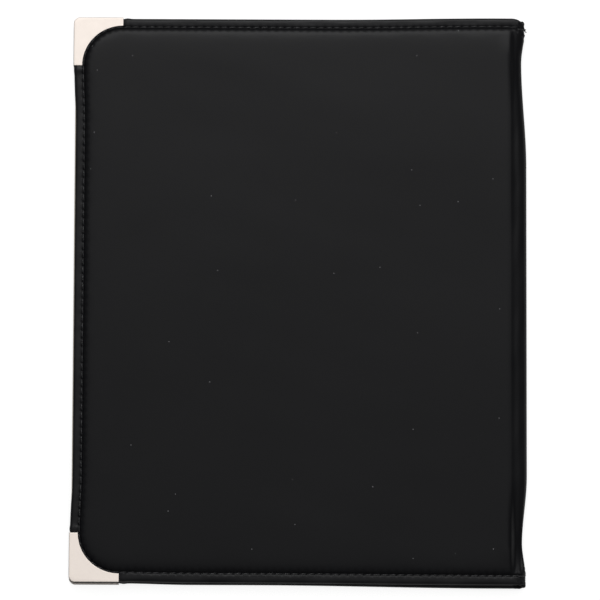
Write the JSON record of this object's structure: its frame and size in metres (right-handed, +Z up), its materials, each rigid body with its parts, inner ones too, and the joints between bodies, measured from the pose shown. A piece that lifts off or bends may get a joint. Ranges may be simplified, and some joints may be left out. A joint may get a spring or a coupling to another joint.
{
  "type": "music folder",
  "caption": "Closed padded folder for sheet music: sewn vinyl covers on stiff boards, soft spine, metal fore-edge corners and an inner pocket in each cover",
  "frame": {"origin": "centre of the closed folder's box, on the table under the front cover", "axes": "+X from the fore-edge to the spine, +Y up the page along the spine, +Z up through the closed covers to the back cover"},
  "size_m": [0.256, 0.3246, 0.012],
  "materials": {
    "vinyl_skin": "satin black padded leatherette",
    "foam_pad": "soft grey foam sheet",
    "greyboard": "dense grey board",
    "lining_cloth": "thin black moire lining cloth",
    "pocket_vinyl": "smooth black vinyl sheet",
    "nickel": "bright nickel plated steel sheet",
    "thread": "black bonded sewing thread"
  },
  "bodies": {
    "front_cover": {"front_skin": "vinyl_skin", "front_hinge_skin": "vinyl_skin", "front_foam": "foam_pad", "front_board": "greyboard", "front_lining": "lining_cloth", "front_hinge_lining": "lining_cloth", "front_pocket": "pocket_vinyl", "front_corner_top": "nickel", "front_corner_bottom": "nickel", "front_needle_thread": "thread", "front_bobbin_thread": "thread"},
    "spine": {"spine_skin": "vinyl_skin", "spine_lining": "lining_cloth", "spine_needle_thread_top": "thread", "spine_needle_thread_bottom": "thread", "spine_bobbin_thread_top": "thread", "spine_bobbin_thread_bottom": "thread"},
    "back_cover": {"back_skin": "vinyl_skin", "back_hinge_skin": "vinyl_skin", "back_foam": "foam_pad", "back_board": "greyboard", "back_lining": "lining_cloth", "back_hinge_lining": "lining_cloth", "back_pocket": "pocket_vinyl", "back_corner_top": "nickel", "back_corner_bottom": "nickel", "back_needle_thread": "thread", "back_bobbin_thread": "thread"}
  },
  "joints": [
    {"name": "front_fold", "type": "hinge", "parent": "front_cover", "child": "spine", "pos_m": [0.12629, 0, 0.00176], "axis": [0, 1, 0], "range_deg": [0, 90]},
    {"name": "back_fold", "type": "hinge", "parent": "spine", "child": "back_cover", "pos_m": [0.12629, 0, 0.01025], "axis": [0, 1, 0], "range_deg": [0, 90]}
  ]
}
